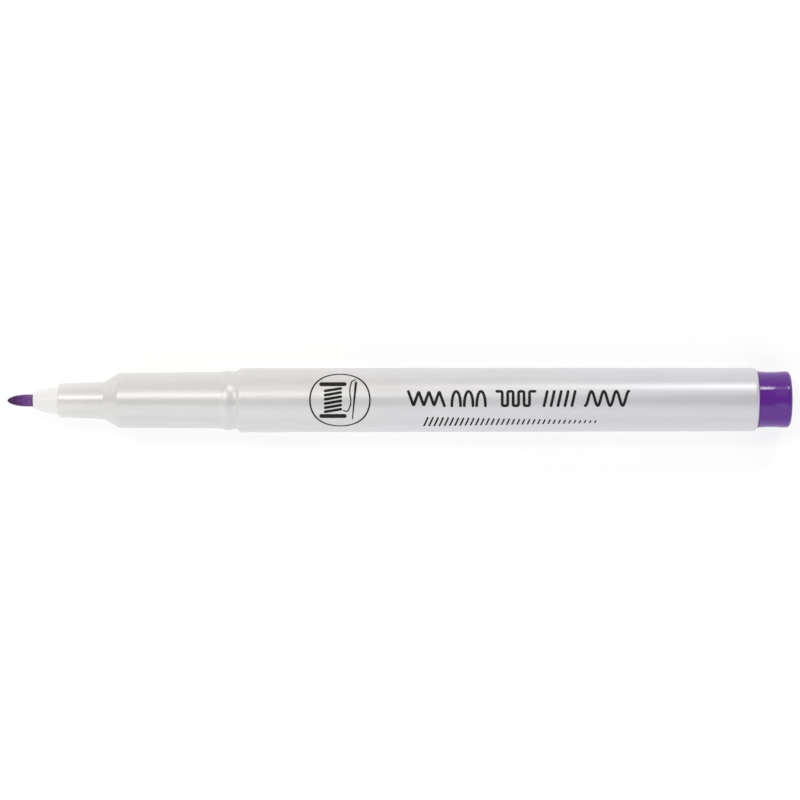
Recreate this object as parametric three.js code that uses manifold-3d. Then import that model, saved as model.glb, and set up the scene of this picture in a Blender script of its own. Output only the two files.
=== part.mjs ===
// A fibre-tip fabric marking pen without its cap, lying on its side.
//
// Millimetres, +Z up. The nib points along -X and the end plug along +X. The origin is
// under the middle of the pen, on the surface that it lies on. Places along the pen are
// stations, measured from the nib's tip.

import * as THREE from 'three';
import { mergeVertices } from 'three/addons/utils/BufferGeometryUtils.js';
import Module from 'manifold-3d';

const wasm = await Module();
wasm.setup();

// ---- driving dimensions -------------------------------------------------------------

const penLength = 130.5;
const barrelRadius = 5.35;
const wallThickness = 1.15;

// Stations of the barrel's outside, from the nib to the rear.
const neckFront = 8.6;
const coneFront = 16.2;
const seatFront = 18.7;
const beadFront = 35.4;
const beadPeak = 36.8;
const beadRear = 38.1;
const stepFront = 38.4;
const stepRear = 38.9;
const draftFront = 83;
const barrelRear = 125;

// Radii of the barrel's outside.
const neckFrontRadius = 2.82;
const neckRearRadius = 3.1;
const seatFrontRadius = 4.57;
const seatRearRadius = 4.71;
const beadRadius = 4.97;
const landRadius = 4.85;
const barrelRearRadius = 5.28;

// The barrel's inside: a neck bore, a wider front bore and the main bore with its ribs.
const neckBoreRadius = 1.95;
const frontBoreRadius = 3.65;
const mainBoreRadius = barrelRadius - wallThickness;
const funnelFront = 17.4;
const funnelRear = 20;
const boreStepFront = 38.8;
const boreStepRear = 40.2;
const ribCount = 6;
const ribWidth = 0.8;
const ribFront = 39.4;
const ribRear = 113;

// The nib and the holder that it slides in.
const nibRadius = 1;
const nibLength = 30;
const holderFront = 4.4;
const holderRear = 17;
const holderFrontRadius = 1.34;
const holderBaseRadius = 2.31;
const ventCount = 3;
const ventWidth = 0.4;
const ventReach = 1.15;

// The ink reservoir: a fibre filler in a film sleeve, with a breather tube along its top.
const fillerFront = 22;
const fillerRear = 116.6;
const fillerRadius = 3.4;
const nibPocketRear = 30.4;
const sleeveWall = 0.1;
const breatherRadius = 0.5;
const breatherBoreRadius = 0.3;
const breatherHeight = 2.85;

// The end plug: a waisted head outside the barrel and a hollow spigot inside it.
const spigotLength = 8;
const plugFrontRadius = 4.74;
const plugWaistRadius = 4.62;
const plugRimRadius = 4.72;
const plugWaist = 127.4;
const plugEdgeRound = 0.6;
const plugWall = 1.3;
const spigotBoreRadius = 3.2;
const sealRingCount = 2;
const sealRingWidth = 0.7;
const sealRingHeight = 0.05;

// Clearances: between pieces that slide on each other, between faces that meet, and
// around the soft pieces.
const slidingGap = 0.03;
const faceGap = 0.05;
const looseGap = 0.05;

// Round pieces are many-sided, and their radii are to the middle of the flats. The
// barrel has fewer sides and a flat at the bottom, so that the pen lies steadily on it.
const barrelSides = 20;
const fineSides = 48;
const smallSides = 24;
const curveSteps = 5;

const degree = Math.PI / 180;

// ---- geometry helpers ---------------------------------------------------------------

// Turns a path of (radius, station) points about the pen's axis. The profile either
// starts and ends on the axis or closes on itself.
function revolve(profile, sides) {
  const widen = 1 / Math.cos(Math.PI / sides);
  const points = profile.getPoints(curveSteps).map(
    (point) => new THREE.Vector2(point.x * widen, point.y),
  );
  const halfSide = Math.PI / sides;
  const geometry = new THREE.LatheGeometry(points, sides, halfSide);
  geometry.rotateZ(-Math.PI / 2);
  return geometry;
}

// A ring-shaped outline closed on itself: a tube between two radii and two stations.
function tubeProfile(innerRadius, outerRadius, front, rear) {
  const profile = new THREE.Path();
  profile.moveTo(innerRadius, front);
  profile.lineTo(outerRadius, front);
  profile.lineTo(outerRadius, rear);
  profile.lineTo(innerRadius, rear);
  profile.lineTo(innerRadius, front);
  return profile;
}

// A bar along the pen, between two stations, that covers a range of heights above the
// axis. The turn about the axis is in radians.
function lengthwiseBar(front, rear, low, high, width, turn) {
  const geometry = new THREE.BoxGeometry(rear - front, width, high - low);
  geometry.translate((front + rear) / 2, 0, (low + high) / 2);
  geometry.rotateX(turn);
  return geometry;
}

function toSolid(geometry) {
  const bare = geometry.clone();
  bare.deleteAttribute('normal');
  bare.deleteAttribute('uv');
  const welded = mergeVertices(bare);
  return new wasm.Manifold(new wasm.Mesh({
    numProp: 3,
    vertProperties: new Float32Array(welded.attributes.position.array),
    triVerts: new Uint32Array(welded.index.array),
  }));
}

function toGeometry(solid) {
  const mesh = solid.getMesh();
  const geometry = new THREE.BufferGeometry();
  geometry.setAttribute('position', new THREE.BufferAttribute(mesh.vertProperties, 3));
  geometry.setIndex(new THREE.BufferAttribute(mesh.triVerts, 1));
  return geometry;
}

// ---- pieces -------------------------------------------------------------------------

// The barrel's outside from the neck to the rear rim, then back through the bore.
function barrelProfile() {
  const neckRound = 0.35;
  const coneRound = 0.3;
  const rimRound = 0.65;
  const profile = new THREE.Path();
  profile.moveTo(neckBoreRadius, neckFront);
  profile.lineTo(neckFrontRadius - neckRound, neckFront);
  profile.quadraticCurveTo(
    neckFrontRadius, neckFront,
    neckFrontRadius, neckFront + neckRound,
  );
  profile.lineTo(neckRearRadius, coneFront - coneRound);
  profile.quadraticCurveTo(
    neckRearRadius, coneFront,
    neckRearRadius + coneRound / 2, coneFront + coneRound,
  );
  profile.lineTo(seatFrontRadius - coneRound / 2, seatFront - coneRound);
  profile.quadraticCurveTo(
    seatFrontRadius, seatFront,
    seatFrontRadius, seatFront + coneRound,
  );
  profile.lineTo(seatRearRadius, beadFront);
  profile.bezierCurveTo(
    seatRearRadius, (beadFront + beadPeak) / 2,
    beadRadius, (beadFront + beadPeak) / 2,
    beadRadius, beadPeak,
  );
  profile.bezierCurveTo(
    beadRadius, (beadPeak + beadRear) / 2,
    landRadius, (beadPeak + beadRear) / 2,
    landRadius, beadRear,
  );
  profile.lineTo(landRadius, stepFront);
  profile.lineTo(barrelRadius, stepRear);
  profile.lineTo(barrelRadius, draftFront);
  profile.lineTo(barrelRearRadius, barrelRear - rimRound);
  profile.quadraticCurveTo(
    barrelRearRadius, barrelRear,
    barrelRearRadius - rimRound, barrelRear,
  );
  profile.lineTo(mainBoreRadius, barrelRear);
  profile.lineTo(mainBoreRadius, boreStepRear);
  profile.lineTo(frontBoreRadius, boreStepFront);
  profile.lineTo(frontBoreRadius, funnelRear);
  profile.lineTo(neckBoreRadius, funnelFront);
  profile.lineTo(neckBoreRadius, neckFront);
  return profile;
}

// One moulding: the shell, with ribs along the main bore that centre the reservoir and
// leave air channels between them.
function barrel() {
  let solid = toSolid(revolve(barrelProfile(), barrelSides));
  const ribTop = mainBoreRadius + wallThickness / 3;
  for (let i = 0; i < ribCount; i += 1) {
    const turn = (i * 360 / ribCount + 30) * degree;
    const rib = lengthwiseBar(ribFront, ribRear, frontBoreRadius, ribTop, ribWidth, turn);
    solid = solid.add(toSolid(rib));
  }
  return toGeometry(solid);
}

// A white insert: a blunt ogive in front of the neck and a spigot inside it. Vent slots
// along its bore let air past the nib as the ink runs out.
function nibHolder() {
  const lipRound = 0.1;
  const bulgeRadius = 2.05;
  const bulgeStation = 6;
  const boreRadius = nibRadius + slidingGap;
  const spigotRadius = neckBoreRadius - slidingGap;
  const baseRear = neckFront - faceGap;
  const tipChamfer = 0.3;
  const profile = new THREE.Path();
  profile.moveTo(boreRadius, holderFront);
  profile.lineTo(holderFrontRadius - lipRound, holderFront);
  profile.quadraticCurveTo(
    holderFrontRadius, holderFront,
    holderFrontRadius, holderFront + lipRound,
  );
  profile.quadraticCurveTo(bulgeRadius, bulgeStation, holderBaseRadius, baseRear);
  profile.lineTo(spigotRadius, baseRear);
  profile.lineTo(spigotRadius, holderRear - tipChamfer);
  profile.lineTo(spigotRadius - tipChamfer, holderRear);
  profile.lineTo(boreRadius, holderRear);
  profile.lineTo(boreRadius, holderFront);
  let solid = toSolid(revolve(profile, fineSides));
  for (let i = 0; i < ventCount; i += 1) {
    const turn = i * 360 / ventCount * degree;
    const vent = lengthwiseBar(
      holderFront - faceGap, holderRear + faceGap, nibRadius / 2, ventReach, ventWidth, turn,
    );
    solid = solid.subtract(toSolid(vent));
  }
  return toGeometry(solid);
}

// A rod of bonded fibres: a bullet point in front, and a blunt cone at the rear that
// reaches into the filler.
function nib() {
  const tipRadius = 0.24;
  const tipTurn = 34 * degree;
  const bulgeStation = 1.3;
  const shoulderRear = 3.9;
  const rearConeLength = 1.5;
  const profile = new THREE.Path();
  profile.moveTo(0, 0);
  profile.absarc(0, tipRadius, tipRadius, -90 * degree, -tipTurn, false);
  profile.quadraticCurveTo(nibRadius, bulgeStation, nibRadius, shoulderRear);
  profile.lineTo(nibRadius, nibLength - rearConeLength);
  profile.lineTo(nibRadius / 2, nibLength);
  profile.lineTo(0, nibLength);
  return revolve(profile, smallSides);
}

// A cylinder of felted fibre with a pocket for the nib and a slot for the breather tube.
function inkFiller() {
  const body = new THREE.Path();
  const pocketRadius = nibRadius + looseGap;
  body.moveTo(0, nibPocketRear);
  body.lineTo(pocketRadius, nibPocketRear);
  body.lineTo(pocketRadius, fillerFront);
  body.lineTo(fillerRadius, fillerFront);
  body.lineTo(fillerRadius, fillerRear);
  body.lineTo(0, fillerRear);
  const slotRadius = breatherRadius + looseGap;
  const overshoot = 1;
  const slot = new THREE.Shape();
  slot.moveTo(slotRadius, fillerRadius + overshoot);
  slot.lineTo(-slotRadius, fillerRadius + overshoot);
  slot.lineTo(-slotRadius, breatherHeight);
  slot.absarc(0, breatherHeight, slotRadius, 180 * degree, 360 * degree, false);
  const cutter = new THREE.ExtrudeGeometry(slot, {
    depth: fillerRear - fillerFront + 2 * overshoot,
    bevelEnabled: false,
    curveSegments: curveSteps,
  });
  cutter.rotateX(90 * degree);
  cutter.rotateZ(90 * degree);
  cutter.translate(fillerFront - overshoot, 0, 0);
  return toGeometry(toSolid(revolve(body, fineSides)).subtract(toSolid(cutter)));
}

// Thin film wrapped round the filler, open at both ends.
function fillerSleeve() {
  const innerRadius = fillerRadius + looseGap;
  const profile = tubeProfile(innerRadius, innerRadius + sleeveWall, fillerFront, fillerRear);
  return revolve(profile, fineSides);
}

// A straw along the filler that lets air reach the back of the barrel.
function breatherTube() {
  const profile = tubeProfile(breatherBoreRadius, breatherRadius, fillerFront, fillerRear);
  const geometry = revolve(profile, smallSides);
  geometry.translate(0, 0, breatherHeight);
  return geometry;
}

// The plug: out of its hollow, over the spigot with its sealing rings, then the waisted
// head and the closed rear face.
function endPlug() {
  const spigotFront = barrelRear - spigotLength;
  const ringRadius = mainBoreRadius - slidingGap;
  const spigotRadius = ringRadius - sealRingHeight;
  const headFront = barrelRear + faceGap;
  const leadIn = 0.4;
  const ringPitch = 2.4;
  const profile = new THREE.Path();
  profile.moveTo(0, penLength - plugWall);
  profile.lineTo(spigotBoreRadius, penLength - plugWall);
  profile.lineTo(spigotBoreRadius, spigotFront);
  profile.lineTo(spigotRadius - leadIn, spigotFront);
  profile.lineTo(spigotRadius, spigotFront + leadIn);
  for (let i = 1; i <= sealRingCount; i += 1) {
    const ringFront = spigotFront + i * ringPitch - sealRingWidth / 2;
    const ringRear = ringFront + sealRingWidth;
    profile.lineTo(spigotRadius, ringFront);
    profile.lineTo(ringRadius, ringFront + sealRingHeight);
    profile.lineTo(ringRadius, ringRear - sealRingHeight);
    profile.lineTo(spigotRadius, ringRear);
  }
  profile.lineTo(spigotRadius, headFront);
  profile.lineTo(plugFrontRadius, headFront);
  profile.quadraticCurveTo(
    plugWaistRadius, (headFront + plugWaist) / 2,
    plugWaistRadius, plugWaist,
  );
  profile.quadraticCurveTo(
    plugWaistRadius, (plugWaist + penLength - plugEdgeRound) / 2,
    plugRimRadius, penLength - plugEdgeRound,
  );
  profile.quadraticCurveTo(
    plugRimRadius, penLength,
    plugRimRadius - plugEdgeRound, penLength,
  );
  profile.lineTo(0, penLength);
  return revolve(profile, fineSides);
}

// ---- assembly -----------------------------------------------------------------------

const pearlWhite = { color: 0xe6e5e0, roughness: 0.35, metalness: 0 };
const plainWhite = { color: 0xefeeea, roughness: 0.45, metalness: 0 };
const inkedFibre = { color: 0x5b2c72, roughness: 0.9, metalness: 0 };
const soakedFiller = { color: 0x8d5aa8, roughness: 0.95, metalness: 0 };
const clearFilm = { color: 0xe8eef2, roughness: 0.15, metalness: 0 };
const milkyTube = { color: 0xf2f2f2, roughness: 0.3, metalness: 0 };
const purplePlastic = { color: 0x6c3d96, roughness: 0.3, metalness: 0 };

function piece(name, geometry, finish) {
  const mesh = new THREE.Mesh(geometry, new THREE.MeshStandardMaterial(finish));
  mesh.name = name;
  return mesh;
}

const pen = new THREE.Group();
pen.name = 'fabric_marking_pen';
pen.position.set(-penLength / 2, 0, barrelRadius);
pen.add(
  piece('barrel', barrel(), pearlWhite),
  piece('nib_holder', nibHolder(), plainWhite),
  piece('nib', nib(), inkedFibre),
  piece('ink_filler', inkFiller(), soakedFiller),
  piece('filler_sleeve', fillerSleeve(), clearFilm),
  piece('breather_tube', breatherTube(), milkyTube),
  piece('end_plug', endPlug(), purplePlastic),
);

export default pen;
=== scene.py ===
# Looks of the fabric marking pen: smooth turned pieces, print, materials and a light table.
#
# The CAD frame gives every place. Along the pen, places are stations in millimetres from
# the nib's tip, and around it, angles from the top towards -Y, which is down in the main
# view.

import math

import bpy
import numpy as np
from mathutils import Matrix, Vector, noise
from mathutils.geometry import interpolate_bezier


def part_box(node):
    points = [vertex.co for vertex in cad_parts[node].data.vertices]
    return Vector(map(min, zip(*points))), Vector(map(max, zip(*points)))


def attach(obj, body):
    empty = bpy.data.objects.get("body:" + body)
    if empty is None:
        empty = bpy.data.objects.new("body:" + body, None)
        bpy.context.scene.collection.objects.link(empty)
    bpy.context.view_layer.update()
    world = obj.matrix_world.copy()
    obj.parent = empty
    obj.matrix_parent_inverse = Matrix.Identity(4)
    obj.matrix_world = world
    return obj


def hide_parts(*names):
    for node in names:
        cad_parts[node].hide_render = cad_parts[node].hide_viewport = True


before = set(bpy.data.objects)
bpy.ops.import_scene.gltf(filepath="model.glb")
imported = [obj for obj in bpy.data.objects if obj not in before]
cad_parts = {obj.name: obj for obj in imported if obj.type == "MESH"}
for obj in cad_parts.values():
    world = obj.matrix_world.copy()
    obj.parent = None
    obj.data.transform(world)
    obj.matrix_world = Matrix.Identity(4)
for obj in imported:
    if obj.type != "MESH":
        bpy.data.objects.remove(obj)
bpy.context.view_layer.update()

MM = 0.001

# ---- places from the frame ----------------------------------------------------------

TIP_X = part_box("nib")[0].x
AXIS_Z = sum(corner.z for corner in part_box("barrel")) / 2


def station_of(x):
    """The station, in mm, of a place along X in metres."""
    return (x - TIP_X) / MM


def radius_of(node):
    """The largest radius of a CAD node, in mm."""
    low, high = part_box(node)
    return (high.y - low.y) / 2 / MM


NECK_FRONT, BARREL_REAR = (station_of(corner.x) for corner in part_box("barrel"))
HOLDER_FRONT, HOLDER_REAR = (station_of(corner.x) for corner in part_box("nib_holder"))
FILLER_FRONT, FILLER_REAR = (station_of(corner.x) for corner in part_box("ink_filler"))
PLUG_FRONT, PEN_REAR = (station_of(corner.x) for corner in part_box("end_plug"))
NIB_REAR = station_of(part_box("nib")[1].x)
BARREL_RADIUS = radius_of("barrel")
NIB_RADIUS = radius_of("nib")
FILLER_RADIUS = radius_of("ink_filler")
SLEEVE_RADIUS = radius_of("filler_sleeve")
TUBE_RADIUS = radius_of("breather_tube")
TUBE_HEIGHT = (sum(corner.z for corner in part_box("breather_tube")) / 2 - AXIS_Z) / MM

# ---- sizes of the pieces, in mm -----------------------------------------------------

CONE_FRONT = 16.2
SEAT_FRONT = 18.7
BEAD_FRONT = 35.4
BEAD_PEAK = 36.8
BEAD_REAR = 38.1
STEP_FRONT = 38.4
STEP_REAR = 38.9
DRAFT_FRONT = 83
NECK_RADII = (2.82, 3.10)
SEAT_RADII = (4.57, 4.71)
BEAD_RADIUS = 4.97
LAND_RADIUS = 4.85
BARREL_REAR_RADIUS = 5.28
NECK_BORE = 1.95
FRONT_BORE = 3.65
MAIN_BORE = 4.2
FUNNEL = (17.4, 20)
BORE_STEP = 38.8
RIB_COUNT = 6
RIB_WIDTH = 0.8
RIB_SPAN = (39.6, 113)
RIB_LEAD_OUT = 0.15
FIRST_RIB_DEGREES = 30
HOLDER_BASE = NECK_FRONT - 0.01
HOLDER_RADII = (1.34, 2.29)
HOLDER_LIP = (5.2, 1.67)
SPIGOT_RADIUS = 1.92
NIB_BORE = NIB_RADIUS + 0.03
PLUG_HEAD_FRONT = BARREL_REAR + 0.01
PLUG_WAIST = 127.4
PLUG_RADII = (4.74, 4.62, 4.72)
PLUG_BORE = 3.2

FINE_SIDES = 240
SMALL_SIDES = 120
STRAW_SIDES = 48
SHARP_ANGLE = math.radians(40)


# ---- mesh helpers -------------------------------------------------------------------


def place(station, radius, angle):
    """The point of the frame at a station, a radius and an angle from the top."""
    return (
        TIP_X + station * MM,
        -radius * math.sin(angle) * MM,
        AXIS_Z + radius * math.cos(angle) * MM,
    )


def add_piece(name, points, faces, material):
    """A mesh object with smooth faces, split where they meet at more than the sharp angle."""
    mesh = bpy.data.meshes.new(name)
    mesh.from_pydata(points, [], faces)
    mesh.shade_smooth()
    mesh.set_sharp_from_angle(angle=SHARP_ANGLE)
    mesh.materials.append(material)
    piece = bpy.data.objects.new(name, mesh)
    bpy.context.scene.collection.objects.link(piece)
    return piece


def turned(name, outline, sides, material, shape=None, closed=True):
    """Turns an outline of (station, radius) points about the pen's axis.

    The outline runs with the material on its right when stations grow. It closes on
    itself, or it starts and ends on the axis. shape(station, radius, angle) may move a
    point to a new (station, radius).
    """
    points, rows, faces = [], [], []
    for station, radius in outline:
        row = []
        for i in range(sides if radius > 0 else 1):
            angle = 2 * math.pi * i / sides
            spot = shape(station, radius, angle) if shape else (station, radius)
            row.append(len(points))
            points.append(place(*spot, angle))
        rows.append(row)
    pairs = list(zip(rows, rows[1:]))
    if closed:
        pairs.append((rows[-1], rows[0]))
    for first, second in pairs:
        for i in range(sides):
            j = (i + 1) % sides
            if len(first) == 1:
                faces.append((first[0], second[j], second[i]))
            elif len(second) == 1:
                faces.append((first[i], first[j], second[0]))
            else:
                faces.append((first[i], first[j], second[j], second[i]))
    return add_piece(name, points, faces, material)


def rounded(corners, closed=True, steps=6, guard=0.04):
    """An outline through (station, radius, rounding) corners, with an arc at each one.

    A guard point just past each end of an arc keeps the shading of long faces straight.
    """
    outline = []
    count = len(corners)
    for i, (station, radius, rounding) in enumerate(corners):
        here = Vector((station, radius))
        if not rounding or (not closed and i in (0, count - 1)):
            outline.append(here)
            continue
        back = (Vector(corners[i - 1][:2]) - here).normalized()
        ahead = (Vector(corners[(i + 1) % count][:2]) - here).normalized()
        half = back.angle(ahead) / 2
        reach = rounding / math.tan(half)
        centre = here + (back + ahead).normalized() * rounding / math.sin(half)
        start, end = here + back * reach, here + ahead * reach
        first, last = (start - centre).normalized(), (end - centre).normalized()
        outline.append(start + back * guard)
        for step in range(steps + 1):
            outline.append(centre + first.slerp(last, step / steps) * rounding)
        outline.append(end + ahead * guard)
    return [tuple(point) for point in outline]


def curve(start, first, second, end, steps):
    """Points of a cubic curve between two (station, radius) points, without its ends."""
    knots = [Vector((*point, 0)) for point in (start, first, second, end)]
    return [tuple(point[:2]) for point in interpolate_bezier(*knots, steps + 2)[1:-1]]


def straight(start, end, steps):
    """Points evenly along a line between two (station, radius) points, without its ends."""
    shares = [i / (steps + 1) for i in range(1, steps + 1)]
    return [tuple(Vector(start).lerp(Vector(end), share)) for share in shares]


def within(angle, middle, half_width):
    """True if an angle lies within half_width of the middle angle, going round the circle."""
    return abs(math.remainder(angle - middle, 2 * math.pi)) <= half_width


# ---- node helpers -------------------------------------------------------------------


def add_node(tree, kind, inputs=None, **settings):
    """Adds a node, sets its properties, and links or sets each named input."""
    node = tree.nodes.new(kind)
    for key, value in settings.items():
        setattr(node, key, value)
    for key, value in (inputs or {}).items():
        if isinstance(value, bpy.types.NodeSocket):
            tree.links.new(value, node.inputs[key])
        else:
            node.inputs[key].default_value = value
    return node


def new_material(name, **sockets):
    """A material with one Principled shader, whose even values are set on its sockets."""
    material = bpy.data.materials.new(name)
    material.use_nodes = True
    shader = material.node_tree.nodes["Principled BSDF"]
    for key, value in sockets.items():
        shader.inputs[key.replace("_", " ")].default_value = value
    return material, material.node_tree, shader


def stretched(tree, along, across):
    """Object coordinates in mm, scaled by one factor along the pen and one across it."""
    spot = add_node(tree, "ShaderNodeTexCoord").outputs["Object"]
    scale = (along / MM, across / MM, across / MM)
    return add_node(tree, "ShaderNodeMapping", {"Vector": spot, "Scale": scale}).outputs[0]


def noise_of(tree, vector, detail=3.0, rough=0.55):
    """A noise value of about 0 to 1 that repeats nowhere."""
    inputs = {"Vector": vector, "Scale": 1.0, "Detail": detail, "Roughness": rough}
    return add_node(tree, "ShaderNodeTexNoise", inputs).outputs["Fac"]


def spread(tree, value, low, high, from_low=0.3, from_high=0.7):
    """Maps a noise value to a range, clamped at both ends."""
    inputs = {
        "Value": value, "From Min": from_low, "From Max": from_high, "To Min": low, "To Max": high,
    }
    return add_node(tree, "ShaderNodeMapRange", inputs).outputs["Result"]


def ramp(tree, value, *stops):
    """A colour ramp through (position, (r, g, b)) stops."""
    node = add_node(tree, "ShaderNodeValToRGB", {"Fac": value})
    elements = node.color_ramp.elements
    while len(elements) < len(stops):
        elements.new(0.5)
    for element, (position, colour) in zip(elements, stops):
        element.position = position
        element.color = (*colour, 1)
    return node.outputs["Color"]


def combine(tree, operation, first, second):
    """One value from two, such as their sum or product."""
    node = add_node(tree, "ShaderNodeMath", {0: first, 1: second}, operation=operation)
    return node.outputs[0]


def bump(tree, height, depth_mm):
    """A normal from a height of 0 to 1 that stands for a depth in mm."""
    inputs = {"Height": height, "Distance": depth_mm * MM, "Strength": 1.0}
    return add_node(tree, "ShaderNodeBump", inputs).outputs["Normal"]


# ---- materials ----------------------------------------------------------------------


def pearl_plastic():
    """Pearl-white plastic with fine flakes and flow lines, and painted light along the pen: lighter
    and warmer at the neck, darker and bluer towards the rear.
    """
    material, tree, shader = new_material("pearl_plastic", IOR=2.55)
    flakes = add_node(
        tree, "ShaderNodeTexVoronoi", {"Vector": stretched(tree, 4.5, 7.5), "Scale": 1.0},
    ).outputs["Color"]
    glint = add_node(tree, "ShaderNodeSeparateColor", {"Color": flakes}).outputs["Red"]
    flow = noise_of(tree, stretched(tree, 0.06, 1.4), detail=4.0)
    cloud = noise_of(tree, stretched(tree, 0.09, 0.25), detail=2.0)
    spot = add_node(tree, "ShaderNodeTexCoord").outputs["Object"]
    along = add_node(tree, "ShaderNodeSeparateXYZ", {"Vector": spot}).outputs["X"]
    place_along = spread(tree, along, 0.0, 1.0, TIP_X, TIP_X + PEN_REAR * MM)
    # Painted light: the base colour is lighter and warmer at the neck and cap seat and darker and
    # bluer towards the rear, standing in for how the light falls along the pen.
    wall = ramp(
        tree, place_along,
        (NECK_FRONT / PEN_REAR, (0.72, 0.71, 0.69)), (SEAT_FRONT / PEN_REAR, (0.65, 0.65, 0.64)),
        (STEP_REAR / PEN_REAR, (0.645, 0.645, 0.64)), (0.8, (0.59, 0.59, 0.635)),
    )
    tone = combine(tree, "ADD", spread(tree, flow, 0.96, 1.0), spread(tree, cloud, -0.02, 0.03))
    tone = combine(tree, "ADD", tone, spread(tree, glint, -0.01, 0.05, 0.0, 1.0))
    colour = add_node(
        tree, "ShaderNodeVectorMath", {0: wall, "Scale": tone}, operation="SCALE",
    ).outputs[0]
    tree.links.new(colour, shader.inputs["Base Color"])
    tree.links.new(spread(tree, flow, 0.33, 0.38), shader.inputs["Roughness"])
    height = combine(tree, "ADD", glint, combine(tree, "MULTIPLY", flow, 2.0))
    tree.links.new(bump(tree, height, 0.0012), shader.inputs["Normal"])
    return material


def white_plastic():
    """Plain white plastic of the nib holder, satin, with faint lengthwise polish lines."""
    material, tree, shader = new_material("white_plastic", IOR=1.5)
    lines = noise_of(tree, stretched(tree, 0.2, 6.0), detail=3.0)
    cloud = noise_of(tree, stretched(tree, 0.7, 0.9), detail=2.0)
    colour = ramp(tree, cloud, (0.3, (0.84, 0.845, 0.84)), (0.7, (0.88, 0.88, 0.875)))
    tree.links.new(colour, shader.inputs["Base Color"])
    tree.links.new(spread(tree, lines, 0.36, 0.46), shader.inputs["Roughness"])
    tree.links.new(bump(tree, lines, 0.003), shader.inputs["Normal"])
    return material


def inked_fibre():
    """Bonded fibres of the nib, soaked dark at the point and mottled behind it."""
    material, tree, shader = new_material("inked_fibre", IOR=1.3)
    spot = add_node(tree, "ShaderNodeTexCoord").outputs["Object"]
    along = add_node(tree, "ShaderNodeSeparateXYZ", {"Vector": spot}).outputs["X"]
    back = spread(tree, along, 0.0, 0.55, TIP_X + 0.4 * MM, TIP_X + 3.4 * MM)
    strands = noise_of(tree, stretched(tree, 0.9, 9.0), detail=5.0)
    patches = noise_of(tree, stretched(tree, 1.3, 2.2), detail=3.0)
    soak = combine(tree, "ADD", spread(tree, strands, -0.2, 0.26), spread(tree, patches, -0.16, 0.34))
    colour = ramp(
        tree, combine(tree, "ADD", back, soak),
        (0.0, (0.030, 0.008, 0.048)), (0.35, (0.078, 0.021, 0.125)),
        (0.7, (0.142, 0.047, 0.232)), (1.0, (0.27, 0.14, 0.36)),
    )
    tree.links.new(colour, shader.inputs["Base Color"])
    tree.links.new(spread(tree, strands, 0.38, 0.7), shader.inputs["Roughness"])
    tree.links.new(bump(tree, strands, 0.02), shader.inputs["Normal"])
    return material


def purple_plastic():
    """Glossy purple plastic of the end plug, with faint swirls in the colour."""
    material, tree, shader = new_material("purple_plastic", IOR=1.42)
    swirl = noise_of(tree, stretched(tree, 0.25, 0.45), detail=4.0, rough=0.6)
    colour = ramp(tree, swirl, (0.35, (0.110, 0.021, 0.258)), (0.65, (0.124, 0.026, 0.285)))
    tree.links.new(colour, shader.inputs["Base Color"])
    fine = noise_of(tree, stretched(tree, 1.2, 1.2), detail=2.0)
    tree.links.new(spread(tree, fine, 0.09, 0.13), shader.inputs["Roughness"])
    tree.links.new(bump(tree, fine, 0.0004), shader.inputs["Normal"])
    return material


def soaked_filler():
    """Felted fibre of the ink store, stained by the ink in streaks along the fibres."""
    material, tree, shader = new_material("soaked_filler", Sheen_Weight=0.15, Sheen_Roughness=0.5)
    strands = noise_of(tree, stretched(tree, 0.35, 8.0), detail=6.0, rough=0.65)
    patches = noise_of(tree, stretched(tree, 0.12, 0.6), detail=3.0)
    tone = combine(tree, "ADD", spread(tree, strands, 0.0, 0.6), spread(tree, patches, 0.0, 0.4))
    colour = ramp(
        tree, tone,
        (0.0, (0.13, 0.05, 0.26)), (0.5, (0.26, 0.12, 0.43)), (1.0, (0.50, 0.34, 0.62)),
    )
    tree.links.new(colour, shader.inputs["Base Color"])
    tree.links.new(spread(tree, strands, 0.7, 0.95), shader.inputs["Roughness"])
    tree.links.new(bump(tree, strands, 0.06), shader.inputs["Normal"])
    return material


def clear_film():
    """Thin clear film round the filler, with faint draw lines."""
    material, tree, shader = new_material("clear_film", Alpha=0.35, IOR=1.45)
    lines = noise_of(tree, stretched(tree, 0.1, 3.0), detail=3.0)
    colour = ramp(tree, lines, (0.3, (0.80, 0.84, 0.88)), (0.7, (0.90, 0.93, 0.95)))
    tree.links.new(colour, shader.inputs["Base Color"])
    tree.links.new(spread(tree, lines, 0.08, 0.2), shader.inputs["Roughness"])
    tree.links.new(bump(tree, lines, 0.004), shader.inputs["Normal"])
    return material


def milky_plastic():
    """Translucent straw, milky, with extrusion lines along it."""
    material, tree, shader = new_material("milky_plastic", IOR=1.45)
    lines = noise_of(tree, stretched(tree, 0.1, 7.0), detail=3.0)
    colour = ramp(tree, lines, (0.3, (0.72, 0.70, 0.76)), (0.7, (0.84, 0.83, 0.87)))
    tree.links.new(colour, shader.inputs["Base Color"])
    tree.links.new(spread(tree, lines, 0.25, 0.4), shader.inputs["Roughness"])
    tree.links.new(bump(tree, lines, 0.004), shader.inputs["Normal"])
    return material


def black_print():
    """Black pad-printed ink, slightly uneven in depth and gloss."""
    material, tree, shader = new_material("black_print", IOR=1.3)
    mottle = noise_of(tree, stretched(tree, 5.0, 5.0), detail=4.0)
    colour = ramp(tree, mottle, (0.3, (0.006, 0.006, 0.005)), (0.7, (0.012, 0.012, 0.011)))
    tree.links.new(colour, shader.inputs["Base Color"])
    tree.links.new(spread(tree, mottle, 0.4, 0.6), shader.inputs["Roughness"])
    tree.links.new(bump(tree, mottle, 0.002), shader.inputs["Normal"])
    return material


PEARL = pearl_plastic()
WHITE = white_plastic()
INKED = inked_fibre()
PURPLE = purple_plastic()
SOAKED = soaked_filler()
FILM = clear_film()
MILKY = milky_plastic()
PRINT = black_print()


# ---- pieces -------------------------------------------------------------------------


def finish_piece(piece, body, node=None):
    """Puts a piece on its body, and lets it stand for its CAD node."""
    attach(piece, body)
    if node:
        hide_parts(node)


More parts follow.
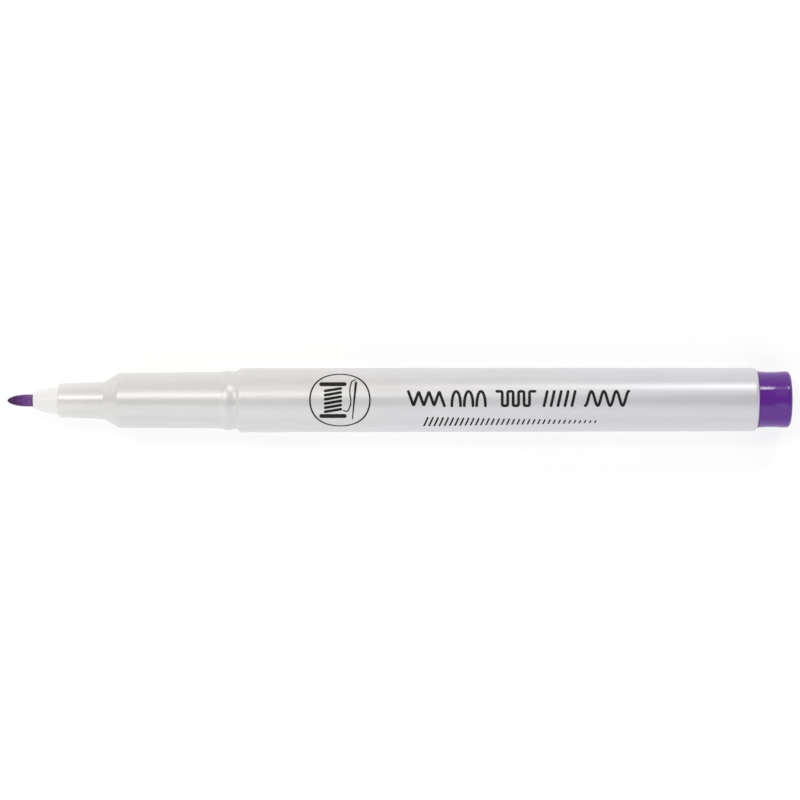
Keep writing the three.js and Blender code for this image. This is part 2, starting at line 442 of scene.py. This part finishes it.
def barrel_shell():
    """The one-piece barrel: neck, cone, cap seat, snap bead, land, step and main tube."""
    outside = rounded(
        [
            (NECK_FRONT, NECK_BORE, 0.12),
            (NECK_FRONT, NECK_RADII[0], 0.33),
            (CONE_FRONT, NECK_RADII[1], 0.25),
            (SEAT_FRONT, SEAT_RADII[0], 0.8),
            (BEAD_FRONT, SEAT_RADII[1], 0),
        ],
        closed=False,
    )[1:]
    rise = (BEAD_PEAK - BEAD_FRONT) / 3
    fall = (BEAD_REAR - BEAD_PEAK) / 3
    crest = (BEAD_PEAK, BEAD_RADIUS)
    bead = curve(
        (BEAD_FRONT, SEAT_RADII[1]), (BEAD_FRONT + rise, SEAT_RADII[1]),
        (BEAD_PEAK - rise, BEAD_RADIUS), crest, 10,
    )
    bead += [crest]
    bead += curve(
        crest, (BEAD_PEAK + fall, BEAD_RADIUS),
        (BEAD_REAR - fall, LAND_RADIUS), (BEAD_REAR, LAND_RADIUS), 10,
    )
    rest = rounded(
        [
            (BEAD_REAR, LAND_RADIUS, 0),
            (STEP_FRONT, LAND_RADIUS, 0.12),
            (STEP_REAR, BARREL_RADIUS, 0.35),
            (DRAFT_FRONT, BARREL_RADIUS, 0),
            (BARREL_REAR, BARREL_REAR_RADIUS, 0.65),
            (BARREL_REAR, MAIN_BORE, 0.1),
            (RIB_SPAN[1] + RIB_LEAD_OUT, MAIN_BORE, 0),
            (RIB_SPAN[1], MAIN_BORE, 0),
            (RIB_SPAN[0], MAIN_BORE, 0),
            (BORE_STEP, FRONT_BORE, 0),
            (FUNNEL[1], FRONT_BORE, 0),
            (FUNNEL[0], NECK_BORE, 0),
            (NECK_FRONT, NECK_BORE, 0.12),
        ],
        closed=False,
    )
    half_rib = math.asin(RIB_WIDTH / 2 / MAIN_BORE)
    rib_angles = [math.radians(i * 360 / RIB_COUNT + FIRST_RIB_DEGREES) for i in range(RIB_COUNT)]

    def ribbed(station, radius, angle):
        """Draws the main bore in to the front bore's radius along each rib."""
        on_rib = any(within(angle, middle, half_rib) for middle in rib_angles)
        if radius == MAIN_BORE and on_rib and station in RIB_SPAN:
            return station, FRONT_BORE
        return station, radius

    piece = turned("barrel_shell", outside + bead + rest, FINE_SIDES, PEARL, ribbed)
    finish_piece(piece, "barrel_assembly", "barrel")


def nib_holder_insert():
    """The white insert: a fluted ogive in front, and a spigot with a vented bore."""
    lip = rounded(
        [
            (HOLDER_FRONT, NIB_BORE, 0),
            (HOLDER_FRONT, HOLDER_RADII[0], 0.08),
            (*HOLDER_LIP, 0),
        ],
        closed=False,
    )
    ogive = curve(HOLDER_LIP, (6.3, 1.98), (7.4, 2.26), (HOLDER_BASE, HOLDER_RADII[1]), 24)
    base = rounded(
        [
            (HOLDER_BASE, HOLDER_RADII[1], 0),
            (HOLDER_BASE, SPIGOT_RADIUS, 0),
            (HOLDER_REAR, SPIGOT_RADIUS, 0.3),
            (HOLDER_REAR, NIB_BORE, 0.1),
        ],
        closed=False,
    )
    outline = lip + ogive + base[:-1] + [(HOLDER_REAR, NIB_BORE)]
    flute_count = 8
    flute_half = math.radians(5)
    flute_depth = 0.05
    flute_fade = 0.8
    vent_count = 3
    vent_width = 0.4
    vent_half = math.asin(vent_width / 2 / NIB_BORE)
    vent_radius = 1.15

    def cut(station, radius, angle):
        """Presses the flutes into the ogive and opens the vents along the bore."""
        if radius == NIB_BORE:
            vents = (2 * math.pi * i / vent_count for i in range(vent_count))
            if any(within(angle, vent, vent_half) for vent in vents):
                return station, vent_radius
            return station, radius
        if HOLDER_LIP[0] < station < HOLDER_BASE:
            turn = math.remainder(angle * flute_count - math.pi, 2 * math.pi) / flute_count
            depth = max(0.0, 1 - (turn / flute_half) ** 2)
            fade = min(1.0, (station - HOLDER_LIP[0]) / flute_fade)
            return station, radius - flute_depth * depth * fade
        return station, radius

    piece = turned("nib_holder_insert", outline, FINE_SIDES, WHITE, cut)
    finish_piece(piece, "holder", "nib_holder")


def nib_rod():
    """The bullet-pointed fibre rod, with fine strands raised along it."""
    tip_radius = 0.24
    tip_turn = math.radians(56)
    tip = [
        (tip_radius * (1 - math.cos(turn)), tip_radius * math.sin(turn))
        for turn in np.linspace(0, tip_turn, 7)
    ]
    shoulder = (3.9, NIB_RADIUS)
    bend = Vector((0.9, NIB_RADIUS))
    rear_cone = NIB_REAR - 1.5
    bullet = curve(
        tip[-1], Vector(tip[-1]).lerp(bend, 2 / 3), Vector(shoulder).lerp(bend, 2 / 3), shoulder, 40,
    )
    rod = straight(shoulder, (rear_cone, NIB_RADIUS), 90)
    tail = [(rear_cone, NIB_RADIUS), (NIB_REAR - 0.1, 0.55), (NIB_REAR, 0.4), (NIB_REAR, 0.0)]
    outline = tip + bullet + [shoulder] + rod + tail

    def strands(station, radius, angle):
        """Raises the strands, and makes the point's outline a little uneven."""
        around = Vector((math.cos(angle), math.sin(angle), 0)) * 9
        fine = noise.noise(around + Vector((0, 0, station * 0.45)))
        lumpy = noise.noise(around * 0.18 + Vector((0, 0, station * 0.9)))
        rise = min(0.025, 0.012 + 0.014 * fine + 0.010 * lumpy)
        return station, radius + rise * min(1.0, radius * 2)

    piece = turned("nib_rod", outline, SMALL_SIDES, INKED, strands, closed=False)
    finish_piece(piece, "nib_rod", "nib")


def filler_core():
    """The fibre ink store, with its nib pocket, the tube's slot and rough cut ends."""
    pocket_radius = NIB_RADIUS + 0.05
    pocket_rear = 30.3
    face_steps = 14
    outline = [(pocket_rear, 0.0), (pocket_rear, pocket_radius)]
    outline += straight((pocket_rear, pocket_radius), (FILLER_FRONT, pocket_radius), 12)
    outline += [(FILLER_FRONT, pocket_radius)]
    outline += straight((FILLER_FRONT, pocket_radius), (FILLER_FRONT, FILLER_RADIUS), face_steps)
    outline += [(FILLER_FRONT, FILLER_RADIUS)]
    outline += straight((FILLER_FRONT, FILLER_RADIUS), (FILLER_REAR, FILLER_RADIUS), 60)
    outline += [(FILLER_REAR, FILLER_RADIUS)]
    outline += straight((FILLER_REAR, FILLER_RADIUS), (FILLER_REAR, 0.0), face_steps * 2)
    outline += [(FILLER_REAR, 0.0)]
    slot_radius = TUBE_RADIUS + 0.05

    def slot_reach(angle):
        """How far from the axis the filler reaches at an angle, inside the tube's slot."""
        side = abs(math.sin(angle))
        if math.cos(angle) <= 0 or side * FILLER_RADIUS >= slot_radius:
            return FILLER_RADIUS
        wall = slot_radius / max(side, 1e-6)
        if wall * math.cos(angle) > TUBE_HEIGHT:
            return min(wall, FILLER_RADIUS)
        across = TUBE_HEIGHT * side
        return TUBE_HEIGHT * math.cos(angle) - math.sqrt(slot_radius ** 2 - across ** 2)

    def felted(station, radius, angle):
        """Cuts the slot and roughens the skin and the cut ends."""
        reach = min(radius, slot_reach(angle))
        spot = Vector((math.cos(angle) * reach, math.sin(angle) * reach, station * 0.3)) * 5
        rough = noise.noise(spot)
        if radius == FILLER_RADIUS and FILLER_FRONT < station < FILLER_REAR:
            return station, reach - 0.02 * abs(rough)
        if station == FILLER_FRONT:
            return station + 0.05 * abs(rough), reach
        if station == FILLER_REAR:
            return station - 0.12 * abs(rough), reach
        return station, reach

    piece = turned("filler_core", outline, FINE_SIDES, SOAKED, felted, closed=False)
    finish_piece(piece, "barrel_assembly", "ink_filler")


def filler_film():
    """The film sleeve, with the lap where its edges overlap."""
    inner = FILLER_RADIUS + 0.05
    outer = SLEEVE_RADIUS - 0.03
    outline = [
        (FILLER_FRONT, inner),
        (FILLER_FRONT, outer),
        *straight((FILLER_FRONT, outer), (FILLER_REAR, outer), 20),
        (FILLER_REAR, outer),
        (FILLER_REAR, inner),
        *straight((FILLER_REAR, inner), (FILLER_FRONT, inner), 20),
    ]
    lap_middle = math.radians(140)
    lap_half = math.radians(14)

    def lapped(station, radius, angle):
        """Thickens the film where its edges lap."""
        if radius > inner and within(angle, lap_middle, lap_half):
            return station, SLEEVE_RADIUS
        return station, radius

    piece = turned("filler_film", outline, FINE_SIDES, FILM, lapped)
    finish_piece(piece, "barrel_assembly", "filler_sleeve")


def breather_straw():
    """The straw in the filler's slot."""
    outline = rounded(
        [
            (FILLER_FRONT, 0.3, 0.04),
            (FILLER_FRONT, TUBE_RADIUS, 0.06),
            (FILLER_REAR, TUBE_RADIUS, 0.06),
            (FILLER_REAR, 0.3, 0.04),
        ],
        steps=3, guard=0.02,
    )
    piece = turned("breather_straw", outline, STRAW_SIDES, MILKY)
    piece.data.transform(Matrix.Translation((0, 0, TUBE_HEIGHT * MM)))
    finish_piece(piece, "barrel_assembly", "breather_tube")


def plug_body():
    """The purple plug: a waisted head, a spigot with two sealing rings, and a gate mark."""
    ring_radius = MAIN_BORE - 0.03
    spigot = ring_radius - 0.05
    ring_front = PLUG_FRONT + 2.05
    corners = [
        (PEN_REAR - 1.3, 0, 0),
        (PEN_REAR - 1.3, PLUG_BORE, 0.3),
        (PLUG_FRONT, PLUG_BORE, 0.1),
        (PLUG_FRONT, spigot, 0.3),
    ]
    for start in (ring_front, ring_front + 2.4):
        corners += [
            (start, spigot, 0),
            (start + 0.12, ring_radius, 0.05),
            (start + 0.58, ring_radius, 0.05),
            (start + 0.7, spigot, 0),
        ]
    corners += [
        (PLUG_HEAD_FRONT, spigot, 0.05),
        (PLUG_HEAD_FRONT, PLUG_RADII[0], 0.08),
        (PLUG_HEAD_FRONT + 0.3, PLUG_RADII[0] - 0.02, 0),
    ]
    outline = rounded(corners, closed=False)
    neck = outline[-1]
    waist = (PLUG_WAIST, PLUG_RADII[1])
    flare = (PEN_REAR - 0.75, PLUG_RADII[2])
    outline += curve(neck, (neck[0] + 0.7, neck[1] - 0.07), (PLUG_WAIST - 0.8, waist[1]), waist, 16)
    outline += [waist]
    outline += curve(waist, (PLUG_WAIST + 0.9, waist[1]), (flare[0] - 0.6, flare[1]), flare, 16)
    recess_radius = 1.3
    recess_depth = 0.12
    gate_radius = 0.45
    outline += rounded(
        [
            (*flare, 0),
            (PEN_REAR, PLUG_RADII[2], 0.6),
            (PEN_REAR, recess_radius, 0.06),
            (PEN_REAR - recess_depth, recess_radius - 0.12, 0.06),
            (PEN_REAR - recess_depth, gate_radius, 0.04),
            (PEN_REAR - recess_depth / 3, gate_radius * 0.8, 0.03),
            (PEN_REAR - recess_depth / 3, 0, 0),
        ],
        closed=False, guard=0.03,
    )
    piece = turned("plug_body", outline, FINE_SIDES, PURPLE, closed=False)
    finish_piece(piece, "plug", "end_plug")


# ---- print --------------------------------------------------------------------------

# The print lies on the main tube. Its marks are drawn flat, in mm, with u along the pen and
# v round it, from the top line towards -Y, and then wrapped on.
PRINT_LIFT = 0.02
PRINT_BASE = 0.001


def tube_radius(station):
    """The main tube's outer radius at a station."""
    share = max(0.0, (station - DRAFT_FRONT) / (BARREL_REAR - DRAFT_FRONT))
    return BARREL_RADIUS + (BARREL_REAR_RADIUS - BARREL_RADIUS) * share


def smooth_path(corners, rounding, spacing=0.09):
    """Points along straight runs between (u, v) corners, with the inner corners rounded."""
    outline = [Vector(corners[0])]
    for before, here, after in zip(corners, corners[1:], corners[2:]):
        here = Vector(here)
        back, ahead = Vector(before) - here, Vector(after) - here
        reach = min(rounding, back.length / 2, ahead.length / 2)
        start, end = here + back.normalized() * reach, here + ahead.normalized() * reach
        for i in range(7):
            share = i / 6
            outline.append(start.lerp(here, share).lerp(here.lerp(end, share), share))
    outline.append(Vector(corners[-1]))
    path = [outline[0]]
    for point in outline[1:]:
        gap = (point - path[-1]).length
        for i in range(1, int(gap / spacing) + 1):
            path.append(path[-1].lerp(point, spacing / (point - path[-1]).length))
        if (point - path[-1]).length > spacing / 2:
            path.append(point)
    return path


def ring_path(centre, radius, count=72):
    """Points round a circle, for a closed stroke."""
    angles = np.linspace(0, 2 * math.pi, count, endpoint=False)
    return [Vector(centre) + radius * Vector((math.cos(a), math.sin(a))) for a in angles]


def stroke(path, widths, closed=False):
    """The cross-sections of a pen stroke along a path, as rows of (u, v) points.

    widths is one width, or one at each end. An open stroke gets round ends.
    """
    first_width, last_width = widths if isinstance(widths, tuple) else (widths, widths)
    count = len(path)
    sections = []
    for i, point in enumerate(path):
        before = path[i - 1] if closed or i > 0 else point
        after = path[(i + 1) % count] if closed or i < count - 1 else point
        along = (after - before).normalized()
        width = first_width + (last_width - first_width) * i / (count - 1)
        sections.append((point, along, width))
    if not closed:
        cap = []
        for turn in np.linspace(math.radians(80), math.radians(20), 4):
            point, along, width = sections[0]
            back = width / 2 * math.sin(turn)
            cap.append((point - along * back, along, width * math.cos(turn)))
        tail = []
        for turn in np.linspace(math.radians(20), math.radians(80), 4):
            point, along, width = sections[-1]
            tail.append((point + along * width / 2 * math.sin(turn), along, width * math.cos(turn)))
        sections = cap + sections + tail
    across = max(2, math.ceil(max(first_width, last_width) / 0.3) + 1)
    rows = []
    for point, along, width in sections:
        side = Vector((-along.y, along.x)) * width / 2
        rows.append([point + side * (1 - 2 * j / (across - 1)) for j in range(across)])
    return rows, closed


def wrapped(name, strokes, station, angle):
    """One piece of print from its strokes, each a closed slab wrapped on the main tube."""
    points, faces = [], []
    for rows, closed in strokes:
        start = len(points)
        across = len(rows[0])
        for lift in (PRINT_LIFT, PRINT_BASE):
            for row in rows:
                for u, v in row:
                    where = station + u
                    radius = tube_radius(where)
                    points.append(place(where, radius + lift, angle + v / radius))
        base = start + len(rows) * across

        def top(i, j):
            return start + (i % len(rows)) * across + j

        def low(i, j):
            return base + (i % len(rows)) * across + j

        for i in range(len(rows) if closed else len(rows) - 1):
            for j in range(across - 1):
                faces.append((top(i, j), top(i, j + 1), top(i + 1, j + 1), top(i + 1, j)))
                faces.append((low(i, j), low(i + 1, j), low(i + 1, j + 1), low(i, j + 1)))
            last = across - 1
            faces.append((top(i, 0), top(i + 1, 0), low(i + 1, 0), low(i, 0)))
            faces.append((top(i, last), low(i, last), low(i + 1, last), top(i + 1, last)))
        if not closed:
            for i, flip in ((0, False), (len(rows) - 1, True)):
                for j in range(across - 1):
                    face = (top(i, j), low(i, j), low(i, j + 1), top(i, j + 1))
                    faces.append(face[::-1] if flip else face)
    piece = add_piece(name, points, faces, PRINT)
    finish_piece(piece, "barrel_assembly")


def spool_badge():
    """A ring round a spool of thread and a needle, near the front of the main tube."""
    strokes = [stroke(ring_path((0, 0), 4.95, 120), 0.26, closed=True)]
    spool = -1.15
    flange = 1.9
    core = 1.28
    slope = 0.22
    for v in (-2.75, 2.75):
        strokes.append(stroke(smooth_path([(spool - flange, v), (spool + flange, v)], 0), 0.75))
    for i in range(6):
        v = -1.75 + i * 0.7
        winding = smooth_path([(spool - core, v + slope), (spool + core, v - slope)], 0)
        strokes.append(stroke(winding, 0.46))
    needle = smooth_path([(2.65, -3.0), (2.05, 3.35)], 0)
    strokes.append(stroke(needle, (0.42, 0.16)))
    thread = smooth_path(
        [
            (spool + 1.75, 1.75), (spool + 2.4, 2.0), (1.9, 0.6),
            (1.55, -1.6), (1.95, -3.35), (2.62, -3.62),
        ],
        0.9,
    )
    strokes.append(stroke(thread, 0.2))
    wrapped("print_spool_badge", strokes, station=55.6, angle=0.0)


def zigzag(start, pitch, count, half):
    """Corners of a zigzag of so many half pitches."""
    return [(start + i * pitch / 2, half if i % 2 else -half) for i in range(count + 1)]


def meander(start, pitch, count, half):
    """Corners of a square wave of so many steps."""
    corners = []
    for i in range(count):
        v = half if i % 2 else -half
        corners += [(start + i * pitch, v), (start + (i + 1) * pitch, v)]
    return corners


def stitch_row():
    """A row of machine stitch patterns, as on a stitch chart, along the top of the tube."""
    half = 1.2
    width = 0.46
    corner = 0.3
    strokes = [stroke(smooth_path(zigzag(0, 1.7, 7, half), corner), width)]
    arch_reach = 0.72
    for i in range(3):
        middle = 7.9 + i * 2.05
        arch = [
            Vector((middle + arch_reach * math.cos(turn), half - 2 * half * math.sin(turn)))
            for turn in np.linspace(0, math.pi, 24)
        ]
        strokes.append(stroke(arch, width))
    strokes.append(stroke(smooth_path(meander(14.6, 0.9, 7, half), corner), width))
    slant = 0.55
    for i in range(5):
        u = 22.4 + i * 1.15
        strokes.append(stroke(smooth_path([(u, half), (u + slant, -half)], 0), width))
    wave_start = 29.2
    wave_length = 7.2
    half_waves = 7
    wave = [
        Vector((wave_start + share * wave_length, half * math.cos(share * half_waves * math.pi)))
        for share in np.linspace(0, 1, 150)
    ]
    strokes.append(stroke(wave, width))
    wrapped("print_stitch_row", strokes, station=66.9, angle=math.radians(-2.4))


def fading_row():
    """Slanted stitches that shrink away to the rear, for marks that fade from the cloth."""
    strokes = []
    count = 34
    length = 28.9
    tallest = 0.95
    for i in range(count):
        share = i / (count - 1)
        half = tallest * (1 - 0.78 * share)
        u = i * length / count
        slant = 0.32 * half / tallest
        width = 0.30 - 0.06 * share
        strokes.append(stroke(smooth_path([(u - slant, half), (u + slant, -half)], 0), width))
    wrapped("print_fading_row", strokes, station=69.8, angle=math.radians(43))


barrel_shell()
nib_holder_insert()
nib_rod()
filler_core()
filler_film()
breather_straw()
plug_body()
spool_badge()
stitch_row()
fading_row()


# ---- stage --------------------------------------------------------------------------


def stage_floor():
    """A white light table, evenly lit from below, that reaches far past the pen."""
    material, tree, shader = new_material("light_table", Roughness=0.9, IOR=1.2)
    speckle = noise_of(tree, stretched(tree, 0.02, 0.02), detail=2.0)
    colour = ramp(tree, speckle, (0.3, (0.31, 0.31, 0.31)), (0.7, (0.33, 0.33, 0.33)))
    tree.links.new(colour, shader.inputs["Base Color"])
    shader.inputs["Emission Color"].default_value = (1, 1, 1, 1)
    shader.inputs["Emission Strength"].default_value = 0.73
    reach = 5.0
    corners = [(-reach, -reach, 0), (reach, -reach, 0), (reach, reach, 0), (-reach, reach, 0)]
    floor = add_piece("floor", corners, [(0, 1, 2, 3)], material)


def studio_world():
    """A white room, with a dark band overhead that runs along the pen."""
    world = bpy.data.worlds.new("studio")
    world.use_nodes = True
    tree = world.node_tree
    bpy.context.scene.world = world
    direction = add_node(tree, "ShaderNodeTexCoord").outputs["Generated"]
    parts = add_node(tree, "ShaderNodeSeparateXYZ", {"Vector": direction})
    tilt = combine(tree, "ARCTAN2", parts.outputs["Y"], parts.outputs["Z"])
    turn = spread(tree, tilt, 0.0, 1.0, -math.pi, math.pi)

    def at(degrees, colour):
        """A stop of the room's light at a tilt from the top towards +Y."""
        return degrees / 360 + 0.5, colour

    dark, near, far = (0.06, 0.06, 0.06), (1.17, 1.18, 1.21), (0.76, 0.705, 0.64)
    low_far, horizon = (0.47, 0.435, 0.40), (0.95, 0.945, 0.935)
    blend = 9

    def band(near_edge, far_edge):
        """The room round the pen, dark overhead between two tilts."""
        return ramp(
            tree, turn,
            at(-90, near), at(near_edge - blend, near), at(near_edge, dark), at(far_edge, dark),
            at(far_edge + blend, far), at(72, low_far), at(90, horizon),
        )

    # The band is wider past the pen's rear, and the room is plain near the horizon.
    rear_limits = (0.08, 0.13)
    horizon_limits = (0.15, 0.45)
    past_rear = spread(tree, parts.outputs["X"], 0.0, 1.0, *rear_limits)
    overhead = add_node(
        tree, "ShaderNodeMix", {0: past_rear, 6: band(-11, 13), 7: band(-21, 40)}, data_type="RGBA",
    ).outputs[2]
    height = spread(tree, parts.outputs["Z"], 0.0, 1.0, *horizon_limits)
    room = add_node(
        tree, "ShaderNodeMix", {0: height, 6: (*horizon, 1), 7: overhead}, data_type="RGBA",
    ).outputs[2]
    ends = ramp(
        tree, spread(tree, parts.outputs["X"], 0.0, 1.0, -1.0, 1.0),
        (0.0, (1.0, 1.0, 1.0)), (0.4, (1.08, 1.075, 1.06)), (0.6, (0.88, 0.88, 0.90)),
        (0.8, (1.1, 1.1, 1.1)),
    )
    light = add_node(
        tree, "ShaderNodeMix", {0: 1.0, 6: room, 7: ends}, data_type="RGBA", blend_type="MULTIPLY",
    ).outputs[2]
    tree.links.new(light, tree.nodes["Background"].inputs["Color"])
    tree.nodes["Background"].inputs["Strength"].default_value = 1.0


def strip_light(name, tilt, turn, span, radiance, colour):
    """A soft strip overhead along X, at a tilt in degrees from the top, and turn degrees wide."""
    height = 0.6
    light = bpy.data.lights.new(name, "AREA")
    light.shape = "RECTANGLE"
    distance = height / math.cos(math.radians(tilt))
    light.size = span[1] - span[0]
    light.size_y = 2 * distance * math.tan(math.radians(turn / 2))
    light.energy = radiance * math.pi * light.size * light.size_y
    light.color = colour
    lamp = bpy.data.objects.new(name, light)
    lamp.location = ((span[0] + span[1]) / 2, height * math.tan(math.radians(tilt)), height + AXIS_Z)
    lamp.rotation_euler = (-math.radians(tilt), 0, 0)
    bpy.context.scene.collection.objects.link(lamp)


def camera_over_print():
    """The main view: straight down on the print, from about half a metre."""
    distance = 0.4924
    frame_width = 0.1335
    middle = 0.00027
    data = bpy.data.cameras.new("camera")
    data.sensor_width = 36
    data.lens = data.sensor_width * distance / frame_width
    camera = bpy.data.objects.new("camera", data)
    camera.location = (middle, 0, AXIS_Z + distance)
    camera.rotation_euler = (0, 0, math.radians(-0.08))
    bpy.context.scene.collection.objects.link(camera)
    bpy.context.scene.camera = camera


stage_floor()
studio_world()
strip_light("front_strip", 20, 15, (-0.45, 0.01), 3.9, (1.0, 0.985, 0.96))
strip_light("front_core", 21, 9, (-0.45, -0.12), 3.0, (1.0, 0.985, 0.96))
strip_light("rear_strip", 48, 11, (0.03, 0.16), 1.6, (1.0, 0.99, 0.98))
strip_light("rear_core", 48, 11.5, (0.17, 0.36), 15.5, (1.0, 1.0, 1.0))
camera_over_print()
bpy.context.scene.view_settings.view_transform = "Standard"
